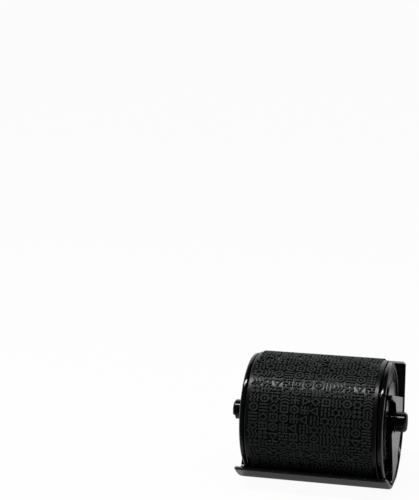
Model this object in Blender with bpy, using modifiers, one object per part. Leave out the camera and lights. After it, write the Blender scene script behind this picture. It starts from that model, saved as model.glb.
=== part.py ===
"""Drop-in cartridge of a privacy roller stamp.

A pre-inked stamp roller turns on a fixed axle, which lies in the hooked end arms of a moulded
carrier frame. The axle runs along X. The front of the cartridge, with the lip, faces -Y. The
origin is on the flat that the frame rests on, midway between the arms.
"""

import math

import bmesh
import bpy
from mathutils import Matrix, Vector

# Clearances
seat_gap = 0.0003
running_gap = 0.0003

# Stamp sleeve, a porous rubber tube with the pattern raised on it
sleeve_length = 0.0262
relief_radius = 0.0124
relief_height = 0.0003
sleeve_wall = 0.0012
margin_width = 0.0010
sleeve_edge_round = 0.0002
relief_columns = 11
relief_rows = 36
relief_gap = 0.0003

# Ink felt, drum core and seals inside the sleeve
felt_thickness = 0.0020
core_wall = 0.0010
core_chamfer = 0.0003
seal_thickness = 0.0004

# End flanges
flange_inset = 0.0006
rim_thickness = 0.00085
rim_edge_round = 0.00055
web_thickness = 0.0012
face_recess_outer_radius = 0.0105
face_recess_inner_radius = 0.0079
face_recess_depth = 0.0003
hub_length = 0.00375
hub_wall = 0.0008
spigot_length = 0.0025
spigot_wall = 0.0009

# Bushes and thrust washers
bush_wall = 0.0007
bush_collar_radius = 0.0041
bush_collar_thickness = 0.0004
washer_thickness = 0.0004

# Axle, with a thicker shaft between the bushes and a keyed left end
axle_radius = 0.0020
shaft_radius = 0.0030
axle_chamfer = 0.00035
right_peg_reach = 0.00215
left_peg_reach = 0.00255
key_step_length = 0.0005
key_step_drop = 0.00075

# Carrier frame: trough, rear wall and lip
frame_wall = 0.0008
rear_wall_rise = 0.00855
rear_bead_depth = 0.0006
rear_bead_height = 0.0007
lip_top_drop = 0.00845
lip_wrap_angle = math.radians(30.5)
frame_corner_radius = 0.0005
rest_flat_depth = 0.00035

# Carrier frame: end arms
arm_thickness = 0.0006
arm_inset = 0.0002
arm_top_rise_at_wall = 0.0011
hook_reach = 0.0052
hook_rise = 0.0070
horn_tip_thickness = 0.0009
horn_root_setback = 0.0005
horn_root_rise = 0.0037
seat_back_angle = math.radians(32)
seat_front_angle = math.radians(-155)
jaw_reach = 0.0043
jaw_drop = 0.0014
right_foot_reach = 0.0007
left_foot_reach = 0.0053
foot_fillet = 0.0021
seat_boss_radius = 0.0036
seat_boss_thickness = 0.0010

# Window between each arm and the trough
window_rim = 0.0009
window_width = 0.0018
window_chord_angle = math.radians(-43)
window_foot_angle = math.radians(-60.5)
window_top_drop = 0.0030

# Cutters and facets
cutter_overrun = 0.0020
merge_distance = 0.00001
steps_per_row = 2
flange_steps = 40
hub_steps = 34
axle_steps = 32
trough_steps = 24
arc_steps = 10
rim_steps = 3

# Radii, worked outwards from the axle and inwards from the relief
sleeve_base_radius = relief_radius - relief_height
flange_radius = relief_radius - flange_inset
sleeve_bore_radius = sleeve_base_radius - sleeve_wall
felt_outer_radius = sleeve_bore_radius - seat_gap
felt_inner_radius = felt_outer_radius - felt_thickness
core_outer_radius = felt_inner_radius - seat_gap
core_bore_radius = core_outer_radius - core_wall
spigot_radius = core_bore_radius - seat_gap
bush_bore_radius = axle_radius + running_gap
bush_outer_radius = bush_bore_radius + bush_wall
hub_bore_radius = bush_outer_radius + seat_gap
pocket_radius = bush_collar_radius + seat_gap
hub_radius = pocket_radius + hub_wall
arm_seat_radius = axle_radius + seat_gap
trough_inner_radius = relief_radius + running_gap
trough_outer_radius = trough_inner_radius + frame_wall
trough_middle_radius = trough_inner_radius + frame_wall / 2
window_radius = trough_inner_radius - window_rim
window_chord_distance = window_radius - window_width
axle_height = trough_outer_radius - rest_flat_depth
lip_length = (trough_outer_radius * math.cos(lip_wrap_angle) - lip_top_drop) / math.sin(lip_wrap_angle)

# Places along the axle, measured from the middle
sleeve_end = sleeve_length / 2
band_end = sleeve_end - margin_width
column_pitch = 2 * band_end / relief_columns
rim_inner_face = sleeve_end + seat_gap
rim_outer_face = rim_inner_face + rim_thickness
web_inner_face = rim_outer_face - web_thickness
core_end = web_inner_face - seat_gap
seal_inner_face = core_end - seal_thickness
felt_end = seal_inner_face - seat_gap
arm_inner_face = rim_outer_face + running_gap
arm_outer_face = arm_inner_face + arm_thickness
frame_end = arm_outer_face + arm_inset
boss_face = arm_inner_face - seat_boss_thickness
washer_inner_face = boss_face - running_gap - washer_thickness
collar_inner_face = washer_inner_face - running_gap - bush_collar_thickness
pocket_floor = collar_inner_face - seat_gap
hub_inner_face = pocket_floor - hub_length
shaft_end = hub_inner_face - running_gap
spigot_end = web_inner_face - spigot_length
right_axle_end = frame_end + right_peg_reach
left_axle_end = frame_end + left_peg_reach

# Turns a piece that is modelled about Z, or drawn in its own XY plane, to lie along the axle
ALONG_AXLE = Matrix(((0, 0, 1), (1, 0, 0), (0, 1, 0))).to_4x4()
OTHER_END = Matrix.Rotation(math.pi, 4, "Z")
SIDES = {"right": ALONG_AXLE, "left": OTHER_END @ ALONG_AXLE}


def clear_scene():
    for old in list(bpy.data.objects):
        bpy.data.objects.remove(old, do_unlink=True)


def new_collection(name):
    collection = bpy.data.collections.new(name)
    bpy.context.scene.collection.children.link(collection)
    return collection


def new_material(name, colour, roughness, metallic=0.0):
    material = bpy.data.materials.new(name)
    material.use_nodes = True
    shader = material.node_tree.nodes["Principled BSDF"]
    shader.inputs["Base Color"].default_value = (*colour, 1)
    shader.inputs["Roughness"].default_value = roughness
    shader.inputs["Metallic"].default_value = metallic
    return material


def new_axis(name, height):
    """An empty that carries the pieces standing on one axis."""
    axis = bpy.data.objects.new(name, None)
    axis.location.z = height
    parts.objects.link(axis)
    return axis


def add_piece(name, mesh, placement, parent, material):
    """Puts a mesh into the scene as one named piece."""
    piece = bpy.data.objects.new(name, mesh)
    parts.objects.link(piece)
    piece.parent = parent
    piece.matrix_local = placement
    mesh.materials.clear()
    mesh.materials.append(material)
    return piece


def shade_round(piece):
    """Smooth shading that keeps the edges sharper than 30 degrees."""
    piece.data.shade_smooth()
    piece.data.set_sharp_from_angle(angle=math.radians(30))


def use_as_cutter(cutter):
    cutter.hide_render = True
    cutter.display_type = "WIRE"
    return cutter


def cut(piece, cutter, operation="DIFFERENCE"):
    """Cuts a piece with a cutter, or joins the two."""
    boolean = piece.modifiers.new(cutter.name, "BOOLEAN")
    boolean.operation = operation
    boolean.solver = "EXACT"
    boolean.object = cutter


def profile_mesh(name, points):
    """A closed line of (radius, place along the axle) points, ready for a Screw."""
    mesh = bpy.data.meshes.new(name)
    shape = bmesh.new()
    verts = [shape.verts.new((radius, 0, place)) for radius, place in points]
    for vert, following in zip(verts, verts[1:] + verts[:1]):
        shape.edges.new((vert, following))
    shape.to_mesh(mesh)
    shape.free()
    return mesh


def turned(name, points, steps, placement, parent, material):
    """A ring turned from a closed profile that runs down its outer side."""
    piece = add_piece(name, profile_mesh(name, points), placement, parent, material)
    screw = piece.modifiers.new("turn", "SCREW")
    screw.steps = steps
    screw.render_steps = steps
    screw.use_merge_vertices = True
    screw.merge_threshold = merge_distance
    finish_mesh(piece)
    shade_round(piece)
    return piece


def finish_mesh(piece):
    """Applies the modifiers, so that the piece keeps one plain mesh."""
    bpy.context.view_layer.update()
    evaluated = piece.evaluated_get(bpy.context.evaluated_depsgraph_get())
    mesh = bpy.data.meshes.new_from_object(evaluated)
    piece.modifiers.clear()
    piece.data = mesh
    mesh.name = piece.name


def tube_profile(outer_radius, bore_radius, inner_end, outer_end, chamfer=0.0):
    """A plain tube's profile, chamfered on its outer edges."""
    return [
        (outer_radius - chamfer, outer_end),
        (outer_radius, outer_end - chamfer),
        (outer_radius, inner_end + chamfer),
        (outer_radius - chamfer, inner_end),
        (bore_radius, inner_end),
        (bore_radius, outer_end),
    ] if chamfer else [
        (outer_radius, outer_end),
        (outer_radius, inner_end),
        (bore_radius, inner_end),
        (bore_radius, outer_end),
    ]


def arc(radius, start, end, steps):
    """Points along a circle round the axle, both ends included."""
    turns = [start + (end - start) * step / steps for step in range(steps + 1)]
    return [Vector((radius * math.cos(turn), radius * math.sin(turn))) for turn in turns]


def prism(name, outline, inner_end, outer_end, collection, parent):
    """A flat outline across the axle, given a thickness along it."""
    drawing = bpy.data.curves.new(name, "CURVE")
    drawing.dimensions = "2D"
    drawing.fill_mode = "BOTH"
    drawing.extrude = (outer_end - inner_end) / 2
    spline = drawing.splines.new("POLY")
    spline.points.add(len(outline) - 1)
    for point, place in zip(spline.points, outline):
        point.co = (place[0], place[1], 0, 1)
    spline.use_cyclic_u = True
    drawn = bpy.data.objects.new(name + "_drawing", drawing)
    collection.objects.link(drawn)
    bpy.context.view_layer.update()
    evaluated = drawn.evaluated_get(bpy.context.evaluated_depsgraph_get())
    mesh = bpy.data.meshes.new_from_object(evaluated)
    bpy.data.objects.remove(drawn, do_unlink=True)
    shape = bmesh.new()
    shape.from_mesh(mesh)
    bmesh.ops.remove_doubles(shape, verts=shape.verts, dist=merge_distance)
    bmesh.ops.recalc_face_normals(shape, faces=shape.faces)
    shape.to_mesh(mesh)
    shape.free()
    solid = bpy.data.objects.new(name, mesh)
    collection.objects.link(solid)
    solid.parent = parent
    solid.matrix_local = ALONG_AXLE @ Matrix.Translation((0, 0, (inner_end + outer_end) / 2))
    return solid


def box(name, low, high, collection, parent):
    """A box between two corners, used as a cutter."""
    mesh = bpy.data.meshes.new(name)
    shape = bmesh.new()
    bmesh.ops.create_cube(shape, size=1)
    shape.to_mesh(mesh)
    shape.free()
    size = Vector(high) - Vector(low)
    middle = (Vector(high) + Vector(low)) / 2
    mesh.transform(Matrix.Translation(middle) @ Matrix.Diagonal((*size, 1)))
    solid = bpy.data.objects.new(name, mesh)
    collection.objects.link(solid)
    solid.parent = parent
    return solid


def trough_line():
    """The frame's outer line in section, from the top of the rear wall round to the lip."""
    arc_end = -math.pi / 2 - lip_wrap_angle
    line = [Vector((trough_outer_radius, rear_wall_rise))]
    line += arc(trough_outer_radius, 0, arc_end, trough_steps)
    tangent = Vector((math.sin(arc_end), -math.cos(arc_end)))
    line.append(line[-1] + tangent * lip_length)
    return line


def make_trough(material):
    """The bent plate that wraps the roller: rear wall, trough and lip in one thickness."""
    mesh = bpy.data.meshes.new("carrier_frame")
    shape = bmesh.new()
    verts = [shape.verts.new((frame_end, place[0], place[1])) for place in trough_line()]
    edges = [shape.edges.new(pair) for pair in zip(verts, verts[1:])]
    swept = bmesh.ops.extrude_edge_only(shape, edges=edges)
    far_verts = [item for item in swept["geom"] if isinstance(item, bmesh.types.BMVert)]
    bmesh.ops.translate(shape, verts=far_verts, vec=(-2 * frame_end, 0, 0))
    bmesh.ops.recalc_face_normals(shape, faces=shape.faces)
    rear_wall = max(shape.faces, key=lambda face: face.calc_center_median().z)
    if rear_wall.normal.y < 0:
        bmesh.ops.reverse_faces(shape, faces=shape.faces)
    shape.to_mesh(mesh)
    shape.free()
    frame = add_piece("carrier_frame", mesh, Matrix(), axle_axis, material)
    solidify = frame.modifiers.new("wall", "SOLIDIFY")
    solidify.thickness = frame_wall
    solidify.offset = -1
    solidify.use_even_offset = True
    finish_mesh(frame)
    level_lip_top(frame)
    round_frame_corners(frame)
    return frame


def level_lip_top(frame):
    """Cuts the lip's end level, by sliding its inner edge down along the lip."""
    down_the_lip = Vector((0, math.cos(lip_wrap_angle), -math.sin(lip_wrap_angle)))
    for vert in frame.data.vertices:
        above = vert.co.z + lip_top_drop
        if vert.co.y < -trough_inner_radius / 2 and above > merge_distance:
            vert.co += down_the_lip * above / math.sin(lip_wrap_angle)


def round_frame_corners(frame):
    """Rounds the four corners of the bent plate: two on the rear wall and two on the lip."""
    shape = bmesh.new()
    shape.from_mesh(frame.data)
    wall_top = max(vert.co.z for vert in shape.verts)
    lip_front = min(vert.co.y for vert in shape.verts)
    corner_edges = []
    for edge in shape.edges:
        middle = (edge.verts[0].co + edge.verts[1].co) / 2
        at_end = abs(abs(middle.x) - frame_end) < merge_distance
        across_wall = edge.calc_length() < frame_wall * 1.5 / math.sin(lip_wrap_angle)
        at_top = middle.z > wall_top - merge_distance
        at_lip = middle.y < lip_front + frame_wall
        if at_end and across_wall and (at_top or at_lip):
            corner_edges.append(edge)
    bmesh.ops.bevel(
        shape, geom=corner_edges, offset=frame_corner_radius, offset_type="OFFSET",
        segments=4, profile=0.5, affect="EDGES", clamp_overlap=True)
    shape.to_mesh(frame.data)
    shape.free()


def arm_outline(foot_reach):
    """An end arm's outline: hook at the top front, foot at the bottom, let into the trough."""
    outline = [
        Vector((-hook_reach, hook_rise)),
        Vector((-hook_reach, hook_rise - horn_tip_thickness)),
        Vector((-jaw_reach, -jaw_drop)),
        *foot_outline(foot_reach),
    ]
    foot_end = outline[-1]
    start = math.atan2(foot_end.y, foot_end.x)
    outline += arc(trough_middle_radius, start, 0, trough_steps)
    outline.append(Vector((trough_middle_radius, arm_top_rise_at_wall)))
    return outline


def foot_outline(foot_reach):
    """The fillet between an arm's front edge and the trough."""
    foot_angle = -math.acos(-foot_reach / trough_inner_radius)
    corner = arc(trough_inner_radius, foot_angle, foot_angle, 1)[0]
    up_the_edge = (Vector((-jaw_reach, -jaw_drop)) - corner).normalized()
    forwards = Vector((math.sin(foot_angle), -math.cos(foot_angle)))
    half_corner = up_the_edge.angle(forwards) / 2
    tangent_length = foot_fillet / math.tan(half_corner)
    inwards = (up_the_edge + forwards).normalized()
    centre = corner + inwards * foot_fillet / math.sin(half_corner)
    start = corner + up_the_edge * tangent_length - centre
    end = corner + forwards * tangent_length - centre
    turn = start.angle_signed(end)
    swept = [Matrix.Rotation(-turn * step / arc_steps, 2) @ start for step in range(arc_steps + 1)]
    return [centre + place for place in swept]


def beyond(start, end, extra):
    """The point past the end of a line by a given length."""
    return end + (end - start).normalized() * extra


def slot_outline():
    """The axle's slot in an arm: a round seat that opens forwards under the horn."""
    horn_tip = Vector((-hook_reach, hook_rise - horn_tip_thickness))
    horn_root = Vector((horn_root_setback, horn_root_rise))
    jaw_tip = Vector((-jaw_reach, -jaw_drop))
    seat = arc(arm_seat_radius, seat_back_angle, seat_front_angle, arc_steps * 2)
    return [
        beyond(horn_root, horn_tip, cutter_overrun),
        horn_root,
        *seat,
        jaw_tip,
        beyond(seat[-1], jaw_tip, cutter_overrun),
    ]


def window_outline():
    """The window between an arm and the trough: straight inner edge, level top, square foot."""
    top_angle = -math.asin(window_top_drop / window_radius)
    across = window_chord_distance + window_top_drop * math.sin(window_chord_angle)
    top_inner = Vector((across / math.cos(window_chord_angle), -window_top_drop))
    foot_distance = window_chord_distance / math.cos(window_foot_angle - window_chord_angle)
    foot_inner = arc(foot_distance, window_foot_angle, window_foot_angle, 1)[0]
    outer_edge = arc(window_radius, window_foot_angle, top_angle, arc_steps * 2)
    return outer_edge + [top_inner, foot_inner]


def make_arm(frame, side, direction, foot_reach):
    """Joins one end arm to the frame, with its axle slot and its window."""
    ends = sorted((direction * arm_inner_face, direction * arm_outer_face))
    arm = prism(side + "_arm", arm_outline(foot_reach), *ends, cutters, axle_axis)
    boss_ends = sorted((direction * boss_face, direction * (arm_inner_face + arm_thickness / 2)))
    boss_circle = arc(seat_boss_radius, 0, 2 * math.pi, axle_steps)[:-1]
    boss = prism(side + "_seat_boss", boss_circle, *boss_ends, cutters, axle_axis)
    through = (direction * boss_face, direction * arm_outer_face)
    cut_ends = (min(through) - cutter_overrun, max(through) + cutter_overrun)
    slot = prism(side + "_axle_slot", slot_outline(), *cut_ends, cutters, axle_axis)
    window = prism(side + "_window", window_outline(), *ends_beyond(ends), cutters, axle_axis)
    for cutter in (arm, boss, slot, window):
        use_as_cutter(cutter)
    cut(arm, boss, "UNION")
    cut(arm, slot)
    cut(arm, window)
    finish_mesh(arm)
    cut(frame, arm, "UNION")


def ends_beyond(ends):
    """Two ends along the axle, each moved out so that a cutter runs past the piece."""
    return ends[0] - cutter_overrun, ends[1] + cutter_overrun


def make_carrier_frame(material):
    """The moulded frame: bent plate with a bead, two hooked arms and the flat that it rests on."""
    frame = make_trough(material)
    bead_end = frame_end - frame_corner_radius
    low = (-bead_end, trough_middle_radius, rear_wall_rise - rear_bead_height)
    high = (bead_end, trough_outer_radius + rear_bead_depth, rear_wall_rise)
    cut(frame, use_as_cutter(box("rear_bead", low, high, cutters, axle_axis)), "UNION")
    make_arm(frame, "right", 1, right_foot_reach)
    make_arm(frame, "left", -1, left_foot_reach)
    depth = rest_flat_depth + cutter_overrun
    low = (-frame_end - cutter_overrun, -trough_outer_radius, -axle_height - depth)
    high = (frame_end + cutter_overrun, trough_outer_radius, -axle_height)
    cut(frame, use_as_cutter(box("rest_flat", low, high, cutters, axle_axis)))
    finish_mesh(frame)
    shade_round(frame)
    return frame


def make_axle(material):
    """The fixed axle: a thicker shaft between the bushes, and a step at the left end as a key."""
    points = [
        (0, right_axle_end),
        (axle_radius - axle_chamfer, right_axle_end),
        (axle_radius, right_axle_end - axle_chamfer),
        (axle_radius, shaft_end + axle_chamfer),
        (shaft_radius - axle_chamfer, shaft_end),
        (shaft_radius, shaft_end - axle_chamfer),
        (shaft_radius, -shaft_end + axle_chamfer),
        (shaft_radius - axle_chamfer, -shaft_end),
        (axle_radius, -shaft_end - axle_chamfer),
        (axle_radius, -left_axle_end + axle_chamfer),
        (axle_radius - axle_chamfer, -left_axle_end),
        (0, -left_axle_end),
    ]
    axle = turned("axle", points, axle_steps, ALONG_AXLE, axle_axis, material)
    low = (-left_axle_end - cutter_overrun, -axle_radius - cutter_overrun, -axle_radius - cutter_overrun)
    high = (-left_axle_end + key_step_length, axle_radius + cutter_overrun, -key_step_drop)
    cut(axle, use_as_cutter(box("axle_key", low, high, cutters, axle_axis)))
    finish_mesh(axle)
    shade_round(axle)


def make_sleeve(material):
    """The stamp sleeve: bare margins at both ends and a band of raised pads between them."""
    base = sleeve_base_radius
    band = [(base, band_end - column * column_pitch) for column in range(relief_columns + 1)]
    points = [
        (base - sleeve_edge_round, sleeve_end),
        (base, sleeve_end - sleeve_edge_round),
        *band,
        (base, -sleeve_end + sleeve_edge_round),
        (base - sleeve_edge_round, -sleeve_end),
        (sleeve_bore_radius, -sleeve_end),
        (sleeve_bore_radius, sleeve_end),
    ]
    steps = relief_rows * steps_per_row
    sleeve = turned("stamp_sleeve", points, steps, ALONG_AXLE, roller_axis, material)
    raise_relief(sleeve)
    shade_round(sleeve)


def raise_relief(sleeve):
    """Raises one pad in each cell of the band, with a groove round it."""
    shape = bmesh.new()
    shape.from_mesh(sleeve.data)
    row_angle = 2 * math.pi / relief_rows
    cells = {}
    for face in shape.faces:
        middle = face.calc_center_median()
        outside = math.hypot(middle.x, middle.y) > sleeve_base_radius - sleeve_wall / 2
        if outside and abs(middle.z) < band_end:
            row = int((math.atan2(middle.y, middle.x) % (2 * math.pi)) / row_angle)
            column = int((middle.z + band_end) / column_pitch)
            cells.setdefault((row, column), []).append(face)
    for place in sorted(cells):
        bmesh.ops.inset_region(
            shape, faces=cells[place], thickness=relief_gap / 2, depth=relief_height,
            use_boundary=True, use_even_offset=True)
    shape.to_mesh(sleeve.data)
    shape.free()


def make_felt(material):
    """The ink reservoir, a felt tube under the sleeve."""
    points = tube_profile(felt_outer_radius, felt_inner_radius, -felt_end, felt_end)
    turned("ink_felt", points, hub_steps, ALONG_AXLE, roller_axis, material)


def make_core(material):
    """The drum core, a tube that carries the felt between the flanges."""
    points = tube_profile(core_outer_radius, core_bore_radius, -core_end, core_end, core_chamfer)
    turned("drum_core", points, hub_steps, ALONG_AXLE, roller_axis, material)


def flange_profile():
    """An end flange in section, from the rim down its outer side and back through the hub."""
    web_edge_radius = sleeve_bore_radius - seat_gap
    recess_floor = rim_outer_face - face_recess_depth
    rim_turn = [
        (flange_radius - rim_edge_round + place.y, rim_outer_face - rim_edge_round + place.x)
        for place in arc(rim_edge_round, 0, math.pi / 2, rim_steps)
    ]
    return [
        *rim_turn,
        (flange_radius, rim_inner_face),
        (web_edge_radius, rim_inner_face),
        (web_edge_radius, web_inner_face),
        (spigot_radius, web_inner_face),
        (spigot_radius, spigot_end),
        (spigot_radius - spigot_wall, spigot_end),
        (spigot_radius - spigot_wall, web_inner_face),
        (hub_radius, web_inner_face),
        (hub_radius, hub_inner_face),
        (hub_bore_radius, hub_inner_face),
        (hub_bore_radius, pocket_floor),
        (pocket_radius, pocket_floor),
        (pocket_radius, rim_outer_face),
        (face_recess_inner_radius, rim_outer_face),
        (face_recess_inner_radius, recess_floor),
        (face_recess_outer_radius, recess_floor),
        (face_recess_outer_radius, rim_outer_face),
    ]


def make_flange(side, placement, material):
    turned(side + "_flange", flange_profile(), flange_steps, placement, roller_axis, material)


def make_bush(side, placement, material):
    """A collared plain bearing, pressed into the flange's hub."""
    collar_outer_face = collar_inner_face + bush_collar_thickness
    points = [
        (bush_collar_radius, collar_outer_face),
        (bush_collar_radius, collar_inner_face),
        (bush_outer_radius, collar_inner_face),
        (bush_outer_radius, hub_inner_face),
        (bush_bore_radius, hub_inner_face),
        (bush_bore_radius, collar_outer_face),
    ]
    turned(side + "_bush", points, axle_steps, placement, roller_axis, material)


def make_washer(side, placement, material):
    """The thrust washer between the bush's collar and the arm's seat boss."""
    outer_face = washer_inner_face + washer_thickness
    points = tube_profile(bush_collar_radius, bush_bore_radius, washer_inner_face, outer_face)
    turned(side + "_thrust_washer", points, axle_steps, placement, roller_axis, material)


def make_seal(side, placement, material):
    """The ring that closes the end of the ink space between core and sleeve."""
    points = tube_profile(felt_outer_radius, felt_inner_radius, seal_inner_face, core_end)
    turned(side + "_ink_seal", points, hub_steps, placement, roller_axis, material)


clear_scene()
parts = new_collection("privacy_roller_cartridge")
cutters = new_collection("cutters")

axle_axis = new_axis("axle_axis", axle_height)
roller_axis = new_axis("roller_axis", axle_height)

black_plastic = new_material("black moulded plastic", (0.012, 0.012, 0.013), 0.22)
axle_plastic = new_material("black axle plastic", (0.010, 0.010, 0.011), 0.25)
flange_plastic = new_material("gloss black plastic", (0.011, 0.011, 0.012), 0.12)
stamp_rubber = new_material("porous stamp rubber", (0.022, 0.025, 0.024), 0.45)
ink_felt = new_material("inked felt", (0.010, 0.010, 0.014), 0.85)
core_plastic = new_material("grey core plastic", (0.35, 0.35, 0.35), 0.45)
bush_plastic = new_material("white acetal", (0.80, 0.80, 0.78), 0.35)
washer_steel = new_material("washer steel", (0.55, 0.55, 0.56), 0.30, 1.0)
seal_rubber = new_material("seal rubber", (0.020, 0.020, 0.020), 0.60)

make_carrier_frame(black_plastic)
make_axle(axle_plastic)
make_sleeve(stamp_rubber)
make_felt(ink_felt)
make_core(core_plastic)
for side, placement in SIDES.items():
    make_flange(side, placement, flange_plastic)
    make_bush(side, placement, bush_plastic)
    make_washer(side, placement, washer_steel)
    make_seal(side, placement, seal_rubber)
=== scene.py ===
"""Looks of the privacy roller stamp cartridge: a rubber stamp roller in a black moulded frame."""

import math

import bmesh
import bpy
from mathutils import Matrix, Vector


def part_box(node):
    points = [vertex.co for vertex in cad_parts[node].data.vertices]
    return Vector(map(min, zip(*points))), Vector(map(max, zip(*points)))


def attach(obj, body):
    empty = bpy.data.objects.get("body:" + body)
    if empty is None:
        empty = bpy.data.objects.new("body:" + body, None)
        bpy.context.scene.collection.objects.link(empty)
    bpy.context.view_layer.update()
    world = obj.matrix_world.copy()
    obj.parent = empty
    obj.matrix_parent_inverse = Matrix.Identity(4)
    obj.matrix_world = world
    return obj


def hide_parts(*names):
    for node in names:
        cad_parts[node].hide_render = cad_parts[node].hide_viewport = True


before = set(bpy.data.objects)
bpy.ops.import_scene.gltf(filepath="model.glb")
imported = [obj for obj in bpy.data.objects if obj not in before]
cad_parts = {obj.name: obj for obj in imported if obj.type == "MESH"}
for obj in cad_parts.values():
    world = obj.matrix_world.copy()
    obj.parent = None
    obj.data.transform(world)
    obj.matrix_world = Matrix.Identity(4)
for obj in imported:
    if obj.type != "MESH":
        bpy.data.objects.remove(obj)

bpy.ops.object.select_all(action="DESELECT")
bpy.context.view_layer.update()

MM = 0.001

# Sizes read from the frame
FRAME_LOW, FRAME_HIGH = (Vector(corner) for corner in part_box("carrier_frame"))
FLANGE_LOW, FLANGE_HIGH = (Vector(corner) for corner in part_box("right_flange"))
AXLE_LOW, AXLE_HIGH = (Vector(corner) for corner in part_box("axle"))
AXLE_HEIGHT = (AXLE_LOW.z + AXLE_HIGH.z) / 2
AXLE_CENTRE = Vector((0, 0, AXLE_HEIGHT))
SLEEVE_END = Vector(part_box("stamp_sleeve")[1]).x

# The stamp roller, and the gap between its pieces
CREST_RADIUS = 12.4 * MM
RELIEF_HEIGHT = 0.3 * MM
BASE_RADIUS = CREST_RADIUS - RELIEF_HEIGHT
SLEEVE_BORE = 10.9 * MM
MARGIN = 0.8 * MM
GAP = 0.3 * MM

# The carrier frame
WALL_MIDDLE = 13.1 * MM
ARM_OUTER = 15.15 * MM
LIP_ANGLE = math.radians(30.5)
LIP_TOP_DROP = 9.0 * MM
LIP_TOP_REACH = 11.3 * MM
HOOK_REACH = 0.6 * MM
HOOK_RISE = 3.6 * MM
HAIR = 0.01 * MM

# Widths of the rounded edges
SLEEVE_CORNER = 0.2 * MM
SLEEVE_ROUND = 0.06 * MM
FLANGE_ROUND = 0.05 * MM
AXLE_ROUND = 0.06 * MM
LIP_ROUND = 0.8 * MM
HOOK_ROUND = 0.5 * MM
RIGHT_END_ROUND = 0.55 * MM
LEFT_END_ROUND = 0.18 * MM
WALL_TOP_ROUND = 0.15 * MM
MOULD_ROUND = 0.1 * MM
SMOOTH_ANGLE = math.radians(40)
RELIEF_SMOOTH_ANGLE = math.radians(20)

# Steps round the turned pieces
SLEEVE_STEPS = 180
FLANGE_STEPS = 160
AXLE_STEPS = 96

# Grain of the finishes
FLOW_MARK = 4 * MM
HANDLING_MARK = 0.5 * MM
FLOW_DEPTH = 0.05 * MM
PORE = 0.25 * MM
STAIN = 5 * MM
GRAIN_DEPTH = 0.02 * MM

# The photograph's camera
CAMERA_AZIMUTH = math.radians(14.891)
CAMERA_PITCH = math.radians(11.492)
CAMERA_LENS = 108
CAMERA_SENSOR = 36
CAMERA_SEES_FROM = 10 * MM
CAMERA_SEES_TO = 20
AXLE_FROM_CAMERA = Vector((22.51, -33.56, -304.05)) * MM


def to_linear(hex_colour):
    """An sRGB hex colour as linear red, green and blue."""
    parts = [int(hex_colour[start:start + 2], 16) / 255 for start in (1, 3, 5)]
    return [part / 12.92 if part <= 0.04045 else ((part + 0.055) / 1.055) ** 2.4 for part in parts]


def add_node(tree, kind, settings=None, **links):
    """Adds one node. Each link is a value, or a (node, output) pair.

    It goes by the input's name, or by the letter i and the input's number."""
    node = tree.nodes.new(kind)
    for name, value in (settings or {}).items():
        setattr(node, name, value)
    for name, value in links.items():
        socket = node.inputs[int(name[1:])] if name[1:].isdigit() else node.inputs[name.replace("_", " ")]
        if isinstance(value, tuple) and isinstance(value[0], bpy.types.Node):
            tree.links.new(value[0].outputs[value[1]], socket)
        else:
            socket.default_value = value
    return node


def ramp(tree, value, between, low, high):
    """Goes from low to high as the value goes from the first place to the second, and is level outside."""
    return add_node(
        tree, "ShaderNodeMapRange", Value=value, From_Min=between[0], From_Max=between[1],
        To_Min=low, To_Max=high)


def combined(tree, operation, first, second):
    """The product, the sum or the larger one of two values."""
    return add_node(tree, "ShaderNodeMath", {"operation": operation}, i0=first, i1=second)


def new_surface(name):
    """A material with one shader, and that shader's node tree."""
    material = bpy.data.materials.new(name)
    material.use_nodes = True
    return material, material.node_tree, material.node_tree.nodes["Principled BSDF"]


def mixed_by_noise(tree, noise, dark, light):
    """Two close colours mixed by a noise. They are inputs 6 and 7, and the mixed one is output 2."""
    mix = add_node(tree, "ShaderNodeMix", {"data_type": "RGBA"}, i0=(noise, "Fac"))
    mix.inputs[6].default_value = (*to_linear(dark), 1)
    mix.inputs[7].default_value = (*to_linear(light), 1)
    return mix


def distance_from_axle(tree, place):
    """How far a point of the surface is from the axle's centre line."""
    from_axle = add_node(
        tree, "ShaderNodeVectorMath", {"operation": "SUBTRACT"}, i0=(place, "Object"), i1=tuple(AXLE_CENTRE))
    across = add_node(
        tree, "ShaderNodeVectorMath", {"operation": "MULTIPLY"}, i0=(from_axle, "Vector"), i1=(0, 1, 1))
    return add_node(tree, "ShaderNodeVectorMath", {"operation": "LENGTH"}, i0=(across, "Vector"))


def moulded_plastic(name, dark, light, gloss, ior=1.5, unevenness=0.12, satin=None):
    """Injection-moulded plastic: black and glossy, with the slight unevenness of a moulded skin.

    Satin is the radius round the axle inside which the skin is satin, and how much rougher it is there."""
    material, tree, shader = new_surface(name)
    place = add_node(tree, "ShaderNodeTexCoord")
    # Sink and flow marks a few millimetres across
    flow = add_node(tree, "ShaderNodeTexNoise", Vector=(place, "Object"), Scale=1 / FLOW_MARK, Detail=2.0)
    # Handling marks, a few tenths of a millimetre across
    marks = add_node(
        tree, "ShaderNodeTexNoise", Vector=(place, "Object"), Scale=1 / HANDLING_MARK, Detail=4.0)
    colour = mixed_by_noise(tree, flow, dark, light)
    tree.links.new(colour.outputs[2], shader.inputs["Base Color"])
    rough = ramp(tree, (marks, "Fac"), (0.35, 0.75), gloss, gloss + 0.06)
    tree.links.new(rough.outputs["Result"], shader.inputs["Roughness"])
    if satin:
        satin_radius, rougher = satin
        satin_edge = (satin_radius - 0.1 * MM, satin_radius + 0.1 * MM)
        radius = distance_from_axle(tree, place)
        extra = ramp(tree, (radius, "Value"), satin_edge, rougher, 0.0)
        both = combined(tree, "ADD", (rough, "Result"), (extra, "Result"))
        tree.links.new(both.outputs["Value"], shader.inputs["Roughness"])
    bump = add_node(
        tree, "ShaderNodeBump", Strength=unevenness, Distance=FLOW_DEPTH, Height=(flow, "Fac"))
    tree.links.new(bump.outputs["Normal"], shader.inputs["Normal"])
    shader.inputs["IOR"].default_value = ior
    return material


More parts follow.
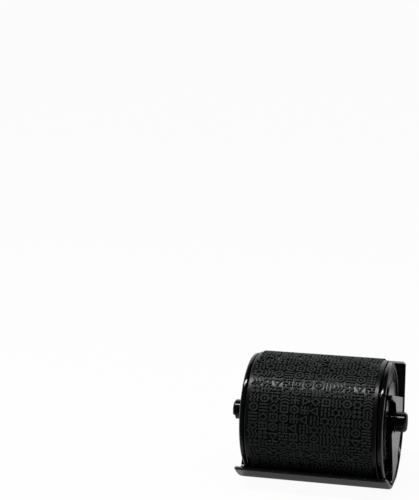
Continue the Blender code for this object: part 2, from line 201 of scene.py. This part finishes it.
def inked_rubber(name):
    """Porous stamp rubber: grey-black printing faces, and wet ink on the ground between them."""
    material, tree, shader = new_surface(name)
    place = add_node(tree, "ShaderNodeTexCoord")
    radius = distance_from_axle(tree, place)
    # 0 on the ground between the reliefs, 1 on their printing faces
    relief_side = (BASE_RADIUS + 0.12 * MM, CREST_RADIUS - 0.04 * MM)
    raised = ramp(tree, (radius, "Value"), relief_side, 0.0, 1.0)
    # Pores and dried ink, tenths of a millimetre across
    pores = add_node(tree, "ShaderNodeTexNoise", Vector=(place, "Object"), Scale=1 / PORE, Detail=5.0)
    # Stains a few millimetres across
    stains = add_node(tree, "ShaderNodeTexNoise", Vector=(place, "Object"), Scale=1 / STAIN, Detail=2.0)
    face = mixed_by_noise(tree, pores, "#161A19", "#212625")
    ink = mixed_by_noise(tree, stains, "#060709", "#0E0F14")
    colour = add_node(tree, "ShaderNodeMix", {"data_type": "RGBA"}, i0=(raised, "Result"))
    tree.links.new(ink.outputs[2], colour.inputs[6])
    tree.links.new(face.outputs[2], colour.inputs[7])
    tree.links.new(colour.outputs[2], shader.inputs["Base Color"])
    rough = ramp(tree, (raised, "Result"), (0.0, 1.0), 0.28, 0.6)
    tree.links.new(rough.outputs["Result"], shader.inputs["Roughness"])
    bump = add_node(tree, "ShaderNodeBump", Strength=0.25, Distance=GRAIN_DEPTH, Height=(pores, "Fac"))
    tree.links.new(bump.outputs["Normal"], shader.inputs["Normal"])
    shader.inputs["IOR"].default_value = 1.42
    return material


def plain_finish(name, dark, light, roughness, grain, metallic=0.0):
    """A plain engineering finish with a fine grain of a given size."""
    material, tree, shader = new_surface(name)
    place = add_node(tree, "ShaderNodeTexCoord")
    noise = add_node(tree, "ShaderNodeTexNoise", Vector=(place, "Object"), Scale=1 / grain, Detail=4.0)
    colour = mixed_by_noise(tree, noise, dark, light)
    tree.links.new(colour.outputs[2], shader.inputs["Base Color"])
    rough = ramp(tree, (noise, "Fac"), (0.3, 0.7), roughness - 0.05, roughness + 0.08)
    tree.links.new(rough.outputs["Result"], shader.inputs["Roughness"])
    bump = add_node(tree, "ShaderNodeBump", Strength=0.2, Distance=GRAIN_DEPTH, Height=(noise, "Fac"))
    tree.links.new(bump.outputs["Normal"], shader.inputs["Normal"])
    shader.inputs["Metallic"].default_value = metallic
    return material


def select_only(piece):
    """Selects one piece alone and makes it the active one."""
    bpy.ops.object.select_all(action="DESELECT")
    piece.select_set(True)
    bpy.context.view_layer.objects.active = piece


def finish_piece(piece, name, material, body, node):
    """Names a piece, gives it its finish, and puts it on its body in place of its CAD node."""
    select_only(piece)
    bpy.ops.object.transform_apply(location=True, rotation=True, scale=True)
    piece.name = name
    piece.data.name = name
    piece.data.materials.clear()
    piece.data.materials.append(material)
    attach(piece, body)
    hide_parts(node)
    bpy.ops.object.select_all(action="DESELECT")


def soften_edges(piece, width, segments=3, angle=35):
    """Rounds the sharp edges of a piece and shades it smooth, with its flat faces kept flat to the eye."""
    select_only(piece)
    bevel = piece.modifiers.new("edges", "BEVEL")
    bevel.width = width
    bevel.segments = segments
    bevel.limit_method = "ANGLE"
    bevel.angle_limit = math.radians(angle)
    bpy.ops.object.modifier_apply(modifier=bevel.name)
    bpy.ops.object.shade_smooth_by_angle(angle=SMOOTH_ANGLE)
    weighted = piece.modifiers.new("normals", "WEIGHTED_NORMAL")
    weighted.mode = "FACE_AREA"
    weighted.weight = 100
    weighted.keep_sharp = True
    bpy.ops.object.modifier_apply(modifier=weighted.name)


def turned_piece(profile, steps):
    """A ring: a point is extruded round a closed profile of (radius, x) and spun about the axle."""
    start = Vector((profile[0][1], 0, AXLE_HEIGHT + profile[0][0]))
    bpy.ops.mesh.primitive_plane_add(size=MM, location=start)
    piece = bpy.context.active_object
    bpy.ops.object.transform_apply(location=True, rotation=True, scale=True)
    bpy.ops.object.mode_set(mode="EDIT")
    bpy.ops.mesh.select_mode(type="VERT")
    bpy.ops.mesh.select_all(action="SELECT")
    bpy.ops.mesh.merge(type="CENTER")
    here = profile[0]
    for radius, x in profile[1:] + profile[:1]:
        bpy.ops.mesh.extrude_vertices_move(
            TRANSFORM_OT_translate={"value": (x - here[1], 0, radius - here[0])})
        here = (radius, x)
    bpy.ops.mesh.select_all(action="SELECT")
    bpy.ops.mesh.remove_doubles(threshold=0.001 * MM)
    bpy.ops.mesh.spin(
        steps=steps, angle=2 * math.pi, use_auto_merge=True, center=AXLE_CENTRE, axis=(1, 0, 0))
    bpy.ops.mesh.select_all(action="SELECT")
    bpy.ops.mesh.remove_doubles(threshold=0.001 * MM)
    bpy.ops.mesh.normals_make_consistent(inside=False)
    bpy.ops.object.mode_set(mode="OBJECT")
    return piece


# Camera and stage

# Where the painted shade and painted light in the paper's mirror image change, measured from the axle
# towards the rear wall
PAINTED_SHADE_FRONT = (-27 * MM, -15 * MM)
PAINTED_SHADE_FAR = (62 * MM, 68 * MM)
PAINTED_GLOW_RAMP = (-12 * MM, 4 * MM)

PAPER_SIZE = 6
PAPER_TONE = 0.8
PAPER_WHITE = 0.95

# Where the backdrop fades in, as the cosine of the angle to the way that the camera looks
BACKDROP_EDGE = (0.45, 0.8)
ROOM_LIGHT = 0.42
ROOM_MIRRORED = 0.004

SOFTBOX_PLACE = (-0.10, -0.10, 0.37)
SOFTBOX_LENGTH = 0.34
SOFTBOX_WIDTH = 0.05
SOFTBOX_POWER = 1.0


def make_camera():
    """The photograph's long lens, a little above the roller and to its right."""
    right = Vector((math.cos(CAMERA_AZIMUTH), math.sin(CAMERA_AZIMUTH), 0))
    ahead = Vector((
        -math.sin(CAMERA_AZIMUTH) * math.cos(CAMERA_PITCH),
        math.cos(CAMERA_AZIMUTH) * math.cos(CAMERA_PITCH),
        -math.sin(CAMERA_PITCH)))
    up = right.cross(ahead)
    turn = Matrix((right, up, -ahead)).transposed()
    bpy.ops.object.camera_add(location=AXLE_CENTRE - turn @ AXLE_FROM_CAMERA)
    camera = bpy.context.active_object
    camera.rotation_euler = turn.to_euler()
    camera.data.lens = CAMERA_LENS
    camera.data.sensor_width = CAMERA_SENSOR
    camera.data.clip_start = CAMERA_SEES_FROM
    camera.data.clip_end = CAMERA_SEES_TO
    bpy.context.scene.camera = camera


def softbox(name, place, target, width, height, power):
    """A rectangular studio light that faces a point, with its long side along the axle."""
    bpy.ops.object.light_add(type="AREA", location=place)
    lamp = bpy.context.active_object
    lamp.name = name
    lamp.data.shape = "RECTANGLE"
    lamp.data.size = width
    lamp.data.size_y = height
    lamp.data.energy = power
    back = (Vector(place) - Vector(target)).normalized()
    across = back.cross(Vector((1, 0, 0))).normalized()
    lamp.rotation_euler = Matrix((across.cross(back), across, back)).transposed().to_euler()
    bpy.ops.object.select_all(action="DESELECT")


def white_to_the_eye(tree, mirrored_share):
    """1 for camera rays, and a share for the rays that metal, gloss and glass send out."""
    path = add_node(tree, "ShaderNodeLightPath")
    mirrored = combined(tree, "MAXIMUM", (path, "Is Glossy Ray"), (path, "Is Transmission Ray"))
    shared = combined(tree, "MULTIPLY", (mirrored, "Value"), mirrored_share)
    return combined(tree, "MAXIMUM", (shared, "Value"), (path, "Is Camera Ray"))


def make_floor():
    """A pale floor that looks white and keeps a faint shadow."""
    bpy.ops.mesh.primitive_plane_add(size=PAPER_SIZE, location=(0, 0, 0))
    floor = bpy.context.active_object
    floor.name = "pale_floor"
    material = bpy.data.materials.new("pale studio paper")
    material.use_nodes = True
    tree = material.node_tree
    tree.nodes.clear()
    # Mirrored, the paper is grey, with painted shade: darker towards the camera and a little way behind the
    # object
    place = add_node(tree, "ShaderNodeTexCoord")
    spread = add_node(tree, "ShaderNodeSeparateXYZ", Vector=(place, "Object"))
    near = ramp(tree, (spread, "Y"), PAINTED_SHADE_FRONT, 0.01, 0.42)
    far = ramp(tree, (spread, "Y"), PAINTED_SHADE_FAR, 1.0, 0.4)
    lit = combined(tree, "MULTIPLY", (near, "Result"), (far, "Result"))
    path = add_node(tree, "ShaderNodeLightPath")
    shade = add_node(
        tree, "ShaderNodeMix", {"data_type": "FLOAT"}, i0=(path, "Is Glossy Ray"), i2=PAPER_TONE,
        i3=(lit, "Value"))
    paper = add_node(tree, "ShaderNodeBsdfDiffuse", Color=(shade, 0))
    # The glow makes the paper white, and adds a painted light to its mirror image, only a little lighter,
    # rising from just in front of the object to behind it
    glow = add_node(tree, "ShaderNodeEmission", Color=(1, 1, 1, 1), Strength=1.0)
    painted_glow_behind = ramp(tree, (spread, "Y"), PAINTED_GLOW_RAMP, 0.02, 0.3)
    mirrored = combined(tree, "MULTIPLY", (painted_glow_behind, "Result"), (far, "Result"))
    seen = white_to_the_eye(tree, (mirrored, "Value"))
    share = combined(tree, "MULTIPLY", (seen, "Value"), PAPER_WHITE)
    both = add_node(
        tree, "ShaderNodeMixShader", i0=(share, "Value"), i1=(paper, "BSDF"), i2=(glow, "Emission"))
    add_node(tree, "ShaderNodeOutputMaterial", Surface=(both, "Shader"))
    floor.data.materials.append(material)
    bpy.ops.object.select_all(action="DESELECT")


def make_world():
    """A studio with a white backdrop behind the object and its dark end behind the camera."""
    world = bpy.data.worlds.new("white studio")
    bpy.context.scene.world = world
    world.use_nodes = True
    tree = world.node_tree
    tree.nodes.clear()
    place = add_node(tree, "ShaderNodeTexCoord")
    ahead = (-math.sin(CAMERA_AZIMUTH), math.cos(CAMERA_AZIMUTH), 0)
    along = add_node(
        tree, "ShaderNodeVectorMath", {"operation": "DOT_PRODUCT"}, i0=(place, "Generated"), i1=ahead)
    lit_end = ramp(tree, (along, "Value"), BACKDROP_EDGE, 0.0, 1.0)
    seen = white_to_the_eye(tree, (lit_end, "Result"))
    dim = add_node(tree, "ShaderNodeBackground", Color=(1, 1, 1, 1), Strength=ROOM_LIGHT)
    white = add_node(tree, "ShaderNodeBackground", Color=(1, 1, 1, 1), Strength=1.0)
    dark = add_node(tree, "ShaderNodeBackground", Color=(1, 1, 1, 1), Strength=ROOM_MIRRORED)
    path = add_node(tree, "ShaderNodeLightPath")
    glossy = add_node(tree, "ShaderNodeMixShader", i0=(path, "Is Glossy Ray"), i1=(dim, 0), i2=(dark, 0))
    both = add_node(tree, "ShaderNodeMixShader", i0=(seen, "Value"), i1=(glossy, 0), i2=(white, 0))
    add_node(tree, "ShaderNodeOutputWorld", Surface=(both, 0))


# The rubber sleeve and its relief

COLUMNS = 12
ROWS = 42
BAND_END = SLEEVE_END - MARGIN
PITCH_ALONG = 2 * BAND_END / COLUMNS
PITCH_ROUND = 2 * math.pi * CREST_RADIUS / ROWS
STROKE = 0.37 * MM
REACH = 0.85 * MM
STRETCH = 1.1
SUNK = 0.1 * MM
FACE_DRAW = 0.04 * MM
FACE_DRAW_DEPTH = 0.05 * MM
SMALL_DOT = 0.26 * MM
DOT = 0.3 * MM
LARGE_DOT = 0.32 * MM
LOZENGE_WALL = 0.32 * MM
TRIANGLE_WALL = 0.3 * MM
STAR_WALL = 0.27 * MM


def open_flat(sides, radius, turn=0.0, centre=(0, 0)):
    """A flat regular face to start a motif from, in edit mode."""
    bpy.ops.mesh.primitive_circle_add(
        vertices=sides, radius=radius, fill_type="NGON", rotation=(0, 0, turn),
        location=(centre[0], centre[1], 0))
    piece = bpy.context.active_object
    bpy.ops.object.transform_apply(location=True, rotation=True, scale=True)
    bpy.ops.object.mode_set(mode="EDIT")
    bpy.ops.mesh.select_mode(type="FACE")
    bpy.ops.mesh.select_all(action="SELECT")
    return piece


def flat_ring(sides, radius, turn=0.0, wall=STROKE):
    """A flat regular ring, its walls one stroke wide unless told."""
    piece = open_flat(sides, radius, turn)
    bpy.ops.mesh.inset(thickness=wall, depth=0)
    bpy.ops.mesh.delete(type="FACE")
    bpy.ops.object.mode_set(mode="OBJECT")
    return piece


def flat_dot(sides, radius, turn=0.0, centre=(0, 0)):
    """A flat regular face, filled."""
    piece = open_flat(sides, radius, turn, centre)
    bpy.ops.object.mode_set(mode="OBJECT")
    return piece


def corner_dots(sides, radius, reach):
    """Four dots, one in each corner of a cell."""
    corners = [(x, y) for x in (-reach, reach) for y in (-reach, reach)]
    return [flat_dot(sides, radius, math.pi / 4, corner) for corner in corners]


def flat_star(points, radius, waist):
    """A hollow star: every second corner of a round face is drawn in, and its middle is taken out."""
    piece = open_flat(points * 2, radius)
    bpy.ops.mesh.select_mode(type="VERT")
    bpy.ops.mesh.select_all(action="DESELECT")
    bpy.ops.object.mode_set(mode="OBJECT")
    for index, vert in enumerate(piece.data.vertices):
        vert.select = index % 2 == 1
    bpy.ops.object.mode_set(mode="EDIT")
    bpy.ops.transform.resize(value=(waist, waist, 1), center_override=(0, 0, 0))
    bpy.ops.mesh.select_mode(type="FACE")
    bpy.ops.mesh.select_all(action="SELECT")
    bpy.ops.mesh.inset(thickness=STAR_WALL, depth=0)
    bpy.ops.mesh.delete(type="FACE")
    bpy.ops.object.mode_set(mode="OBJECT")
    return piece


def flat_bar(length, shift=(0, 0), width=STROKE):
    """A straight bar, one stroke wide unless told."""
    bpy.ops.mesh.primitive_plane_add(size=1, location=(shift[0], shift[1], 0))
    piece = bpy.context.active_object
    piece.scale = (length, width, 1)
    bpy.ops.object.transform_apply(location=True, rotation=True, scale=True)
    return piece


def flat_fold(length, folds, rise, shift):
    """A bar with its middle points pushed up and down: a chevron or a zigzag."""
    piece = flat_bar(length, (0, shift))
    shape = bmesh.new()
    shape.from_mesh(piece.data)
    long_edges = [edge for edge in shape.edges if abs(edge.verts[0].co.x - edge.verts[1].co.x) > STROKE]
    bmesh.ops.subdivide_edges(shape, edges=long_edges, cuts=folds)
    for vert in shape.verts:
        place = round((vert.co.x / length + 0.5) * (folds + 1))
        vert.co.y += rise / 2 if place % 2 else -rise / 2
    shape.to_mesh(piece.data)
    shape.free()
    return piece


def as_motif(name, flats, turn=0.0):
    """Joins flat shapes, gives them the relief's height and draws the printing face in a little."""
    bpy.ops.object.select_all(action="DESELECT")
    for flat in flats:
        flat.select_set(True)
    bpy.context.view_layer.objects.active = flats[0]
    if len(flats) > 1:
        bpy.ops.object.join()
    piece = bpy.context.active_object
    piece.rotation_euler = (0, 0, turn)
    bpy.ops.object.transform_apply(location=True, rotation=True, scale=True)
    bpy.ops.object.mode_set(mode="EDIT")
    bpy.ops.mesh.select_mode(type="FACE")
    bpy.ops.mesh.select_all(action="SELECT")
    bpy.ops.mesh.normals_make_consistent(inside=False)
    bpy.ops.mesh.extrude_region_move(
        TRANSFORM_OT_translate={"value": (0, 0, SUNK + RELIEF_HEIGHT - FACE_DRAW_DEPTH)})
    bpy.ops.mesh.inset(thickness=FACE_DRAW, depth=FACE_DRAW_DEPTH)
    bpy.ops.mesh.select_all(action="SELECT")
    bpy.ops.mesh.normals_make_consistent(inside=False)
    bpy.ops.object.mode_set(mode="OBJECT")
    mesh = piece.data.copy()
    mesh.name = name
    bpy.data.objects.remove(piece, do_unlink=True)
    return mesh


def brick_rows(rows):
    """A long and a short bar in each row, in turns."""
    long_brick = (1.2 * REACH, 0.4 * REACH)
    short_brick = (0.55 * REACH, 0.72 * REACH)
    pairs = ((long_brick, short_brick), (short_brick, long_brick), (long_brick, short_brick))
    return [
        flat_bar(length, (side * shift, row))
        for row, pair in zip(rows, pairs) for side, (length, shift) in zip((-1, 1), pair)]


def make_motifs():
    """The generic masking motifs: plain geometric figures, none of them a letter."""
    quarter = math.pi / 4
    rows = (-0.74 * REACH, 0, 0.74 * REACH)
    arm = REACH - STROKE / 2
    return [
        as_motif("lozenge", [
            flat_ring(4, 1.12 * REACH, 0, LOZENGE_WALL), *corner_dots(3, SMALL_DOT, 0.8 * REACH)]),
        as_motif("chevrons", [flat_fold(2 * REACH, 1, 0.5 * REACH, row) for row in rows]),
        as_motif("hexagon", [flat_ring(6, 1.12 * REACH), flat_dot(6, DOT)]),
        as_motif("zigzags", [flat_fold(2 * REACH, 3, 0.35 * REACH, row) for row in rows]),
        as_motif("triangle", [flat_ring(3, 1.3 * REACH, quarter * 2, TRIANGLE_WALL)]),
        as_motif("bars", [flat_bar(2 * REACH, (0, row)) for row in rows], quarter * 2),
        as_motif("star", [flat_star(6, 1.3 * REACH, 0.6)]),
        as_motif("square", [flat_ring(4, 1.36 * REACH, quarter), flat_dot(4, LARGE_DOT, quarter)]),
        as_motif("blocks", corner_dots(6, 0.5 * REACH, 0.52 * REACH)),
        as_motif("cross", [
            flat_bar(2 * REACH),
            *[flat_bar(STROKE, (0, side * (STROKE + arm) / 2), arm) for side in (-1, 1)],
            *corner_dots(4, DOT, 0.66 * REACH)]),
        as_motif("octagon", [flat_ring(8, 1.08 * REACH, quarter / 2), flat_dot(4, LARGE_DOT)]),
        as_motif("bricks", brick_rows(rows)),
    ]


def make_relief():
    """Lays one motif in each cell of the band and wraps them round the sleeve."""
    motifs = make_motifs()
    shape = bmesh.new()
    for row in range(ROWS):
        for column in range(COLUMNS):
            kind = (row * 5 + column * 7 + (row // 3) * (column // 2)) % len(motifs)
            turn = ((row * 3 + column * 5) % 4) * math.pi / 2
            spin = Matrix.Rotation(turn, 4, "Z")
            first = len(shape.verts)
            shape.from_mesh(motifs[kind])
            shape.verts.ensure_lookup_table()
            along = -BAND_END + (column + 0.5) * PITCH_ALONG
            around = (row + 0.5) * PITCH_ROUND
            for vert in shape.verts[first:]:
                flat = spin @ vert.co
                angle = (around + flat.y) / CREST_RADIUS
                radius = BASE_RADIUS - SUNK + flat.z
                vert.co = AXLE_CENTRE + Vector((
                    along + flat.x * STRETCH, -radius * math.cos(angle), radius * math.sin(angle)))
    mesh = bpy.data.meshes.new("stamp_relief")
    shape.to_mesh(mesh)
    shape.free()
    piece = bpy.data.objects.new("stamp_relief", mesh)
    bpy.context.scene.collection.objects.link(piece)
    for motif in motifs:
        bpy.data.meshes.remove(motif)
    select_only(piece)
    bpy.ops.object.mode_set(mode="EDIT")
    bpy.ops.mesh.select_all(action="SELECT")
    bpy.ops.mesh.normals_make_consistent(inside=False)
    bpy.ops.object.mode_set(mode="OBJECT")
    bpy.ops.object.shade_smooth_by_angle(angle=RELIEF_SMOOTH_ANGLE)
    return piece


def make_sleeve(rubber):
    """The sleeve: a smooth tube with the relief laid round it."""
    profile = [
        (BASE_RADIUS - SLEEVE_CORNER, SLEEVE_END), (BASE_RADIUS, SLEEVE_END - SLEEVE_CORNER),
        (BASE_RADIUS, -SLEEVE_END + SLEEVE_CORNER), (BASE_RADIUS - SLEEVE_CORNER, -SLEEVE_END),
        (SLEEVE_BORE, -SLEEVE_END), (SLEEVE_BORE, SLEEVE_END)]
    sleeve = turned_piece(profile, SLEEVE_STEPS)
    soften_edges(sleeve, SLEEVE_ROUND, 2)
    relief = make_relief()
    bpy.ops.object.select_all(action="DESELECT")
    relief.select_set(True)
    sleeve.select_set(True)
    bpy.context.view_layer.objects.active = sleeve
    bpy.ops.object.join()
    finish_piece(
        bpy.context.active_object, "stamp_sleeve_rubber", rubber, "stamp_roller",
        "stamp_sleeve")


# Flanges and axle

def make_flange(side, direction, plastic):
    """An end disc with a rounded rim, a ring-shaped recess, a pocket for the bush and the hub behind it."""
    rim_round = 0.55 * MM
    recess_start, recess_end, recess_depth = 7.9 * MM, 10.5 * MM, 0.3 * MM
    pocket_radius, pocket_depth = 4.4 * MM, 2.4 * MM
    bore, hub_radius = 3.3 * MM, 5.2 * MM
    spigot_bore, spigot_radius, spigot_setback = 6.1 * MM, 7.0 * MM, 2.45 * MM
    web_edge, web_depth = 10.6 * MM, 1.2 * MM
    rim = FLANGE_HIGH.z - AXLE_HEIGHT
    outer = FLANGE_HIGH.x
    inner = SLEEVE_END + GAP
    recess = outer - recess_depth
    web = outer - web_depth
    pocket = outer - pocket_depth
    hub = FLANGE_LOW.x
    spigot = hub + spigot_setback
    turns = [math.radians(15 * step) for step in range(7)]
    profile = [
        (rim - rim_round * (1 - math.sin(turn)), outer - rim_round * (1 - math.cos(turn))) for turn in turns]
    profile += [
        (rim, inner), (web_edge, inner), (web_edge, web), (spigot_radius, web), (spigot_radius, spigot),
        (spigot_bore, spigot), (spigot_bore, web), (hub_radius, web), (hub_radius, hub), (bore, hub),
        (bore, pocket), (pocket_radius, pocket), (pocket_radius, outer), (recess_start, outer),
        (recess_start, recess), (recess_end, recess), (recess_end, outer)]
    if direction < 0:
        profile = [(radius, -x) for radius, x in profile]
    flange = turned_piece(profile, FLANGE_STEPS)
    soften_edges(flange, FLANGE_ROUND, 2)
    finish_piece(flange, side + "_end_flange", plastic, "stamp_roller", side + "_flange")


def make_axle(plastic):
    """The axle: round pegs with turned chamfers, and a step cut into the left end."""
    right_end, left_end = AXLE_HIGH.x, AXLE_LOW.x
    radius, shaft, chamfer = 2.0 * MM, 3.0 * MM, 0.35 * MM
    step_depth, step_top, overrun = 0.5 * MM, 0.75 * MM, 3 * MM
    shoulder = FLANGE_LOW.x - GAP
    profile = [
        (0.0, right_end), (radius - chamfer, right_end), (radius, right_end - chamfer),
        (radius, shoulder), (shaft, shoulder), (shaft, -shoulder), (radius, -shoulder),
        (radius, left_end + chamfer), (radius - chamfer, left_end), (0.0, left_end)]
    axle = turned_piece(profile, AXLE_STEPS)
    low = Vector((left_end - MM, -overrun, AXLE_HEIGHT - overrun))
    high = Vector((left_end + step_depth, overrun, AXLE_HEIGHT - step_top))
    bpy.ops.mesh.primitive_cube_add(size=1, location=(low + high) / 2)
    step = bpy.context.active_object
    step.scale = high - low
    bpy.ops.object.transform_apply(location=True, rotation=True, scale=True)
    select_only(axle)
    boolean = axle.modifiers.new("step", "BOOLEAN")
    boolean.object = step
    boolean.solver = "EXACT"
    bpy.ops.object.modifier_apply(modifier=boolean.name)
    bpy.data.objects.remove(step, do_unlink=True)
    soften_edges(axle, AXLE_ROUND, 2, 30)
    finish_piece(axle, "peg_axle", plastic, "carrier", "axle")


# Carrier frame

def outwards(place):
    """How far a place is from the axle, measured through the wall, the arc or the lip."""
    down = place.z - AXLE_HEIGHT
    if down > 0:
        return place.y
    along_lip = -place.y * math.sin(LIP_ANGLE) - down * math.cos(LIP_ANGLE)
    past_arc = -place.y * math.cos(LIP_ANGLE) + down * math.sin(LIP_ANGLE)
    return along_lip if past_arc > 0 else math.hypot(place.y, down)


def is_right_end(first, second):
    """The outer edges of the bent plate's right end."""
    return all(
        place.x > FRAME_HIGH.x - HAIR and outwards(place) > WALL_MIDDLE for place in (first, second))


def is_left_end(first, second):
    """The outer edges of the bent plate's left end."""
    return all(
        place.x < FRAME_LOW.x + HAIR and outwards(place) > WALL_MIDDLE for place in (first, second))


def is_lip_front(first, second):
    """The sharp front edge of the lip's level top."""
    return all(
        place.z > AXLE_HEIGHT - LIP_TOP_DROP and place.y < -LIP_TOP_REACH for place in (first, second))


def is_hook_front(first, second):
    """The outer edges of the hooks' tips and undersides."""
    return all(
        abs(abs(place.x) - ARM_OUTER) < 2 * HAIR and place.y < HOOK_REACH
        and place.z > AXLE_HEIGHT + HOOK_RISE for place in (first, second))


def is_wall_top_front(first, second):
    """The front edge of the rear wall's top, which catches the light."""
    return all(
        place.z > FRAME_HIGH.z - HAIR and place.y < WALL_MIDDLE for place in (first, second))


def round_chosen_edges(piece, is_chosen, width):
    """Rounds the edges that a test picks out by their two ends."""
    select_only(piece)
    bpy.ops.object.mode_set(mode="EDIT")
    bpy.ops.mesh.select_mode(type="EDGE")
    bpy.ops.mesh.select_all(action="DESELECT")
    bpy.ops.object.mode_set(mode="OBJECT")
    corners = piece.data.vertices
    for edge in piece.data.edges:
        first, second = edge.vertices
        edge.select = is_chosen(corners[first].co, corners[second].co)
    bpy.ops.object.mode_set(mode="EDIT")
    bpy.ops.mesh.bevel(offset=width, segments=4, profile=0.5)
    bpy.ops.object.mode_set(mode="OBJECT")


def make_frame(plastic):
    """The moulded frame: a copy of the solid with its loose triangles merged and its edges rounded."""
    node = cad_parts["carrier_frame"]
    piece = bpy.data.objects.new("carrier_moulding", node.data.copy())
    bpy.context.scene.collection.objects.link(piece)
    select_only(piece)
    bpy.ops.object.mode_set(mode="EDIT")
    bpy.ops.mesh.select_all(action="SELECT")
    bpy.ops.mesh.remove_doubles(threshold=0.002 * MM)
    bpy.ops.mesh.dissolve_limited(angle_limit=math.radians(0.5))
    bpy.ops.object.mode_set(mode="OBJECT")
    round_chosen_edges(piece, is_lip_front, LIP_ROUND)
    round_chosen_edges(piece, is_hook_front, HOOK_ROUND)
    round_chosen_edges(piece, is_right_end, RIGHT_END_ROUND)
    round_chosen_edges(piece, is_left_end, LEFT_END_ROUND)
    round_chosen_edges(piece, is_wall_top_front, WALL_TOP_ROUND)
    soften_edges(piece, MOULD_ROUND, 3, 25)
    finish_piece(piece, "carrier_moulding", plastic, "carrier", "carrier_frame")


def dress_cad_nodes():
    """Finishes for the inner pieces that keep their own solids."""
    acetal = plain_finish("moulded grey acetal", "#4A4B4D", "#5A5B5D", 0.35, 0.6 * MM)
    steel = plain_finish("blanked washer steel", "#8E9092", "#A5A7A9", 0.3, 0.2 * MM, 1.0)
    felt = plain_finish("ink-soaked wool felt", "#0A0A0E", "#181820", 0.85, 0.3 * MM)
    core = plain_finish("moulded grey polypropylene", "#8A8A88", "#9A9A98", 0.45, 0.8 * MM)
    seal = plain_finish("nitrile rubber", "#141414", "#1E1E1E", 0.6, 0.4 * MM)
    finishes = {"ink_felt": felt, "drum_core": core}
    for side in ("left", "right"):
        finishes[side + "_bush"] = acetal
        finishes[side + "_thrust_washer"] = steel
        finishes[side + "_ink_seal"] = seal
    for name, finish in finishes.items():
        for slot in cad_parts[name].material_slots:
            slot.material = finish


make_camera()
make_world()
make_floor()
softbox("overhead_softbox", SOFTBOX_PLACE, AXLE_CENTRE, SOFTBOX_LENGTH, SOFTBOX_WIDTH, SOFTBOX_POWER)

frame_abs = moulded_plastic("moulded black ABS", "#0A0A0B", "#101011", 0.14)
flange_abs = moulded_plastic("polished black ABS", "#08080A", "#0E0E10", 0.06, satin=(11.1 * MM, 0.05))
axle_acetal = moulded_plastic(
    "moulded black acetal", "#060607", "#0B0B0C", 0.13, ior=1.42, unevenness=0.03, satin=(1.65 * MM, 0.5))
stamp_rubber = inked_rubber("ink-filled microporous rubber")

make_frame(frame_abs)
make_axle(axle_acetal)
make_sleeve(stamp_rubber)
make_flange("right", 1, flange_abs)
make_flange("left", -1, flange_abs)
dress_cad_nodes()

bpy.context.scene.view_settings.view_transform = "Standard"
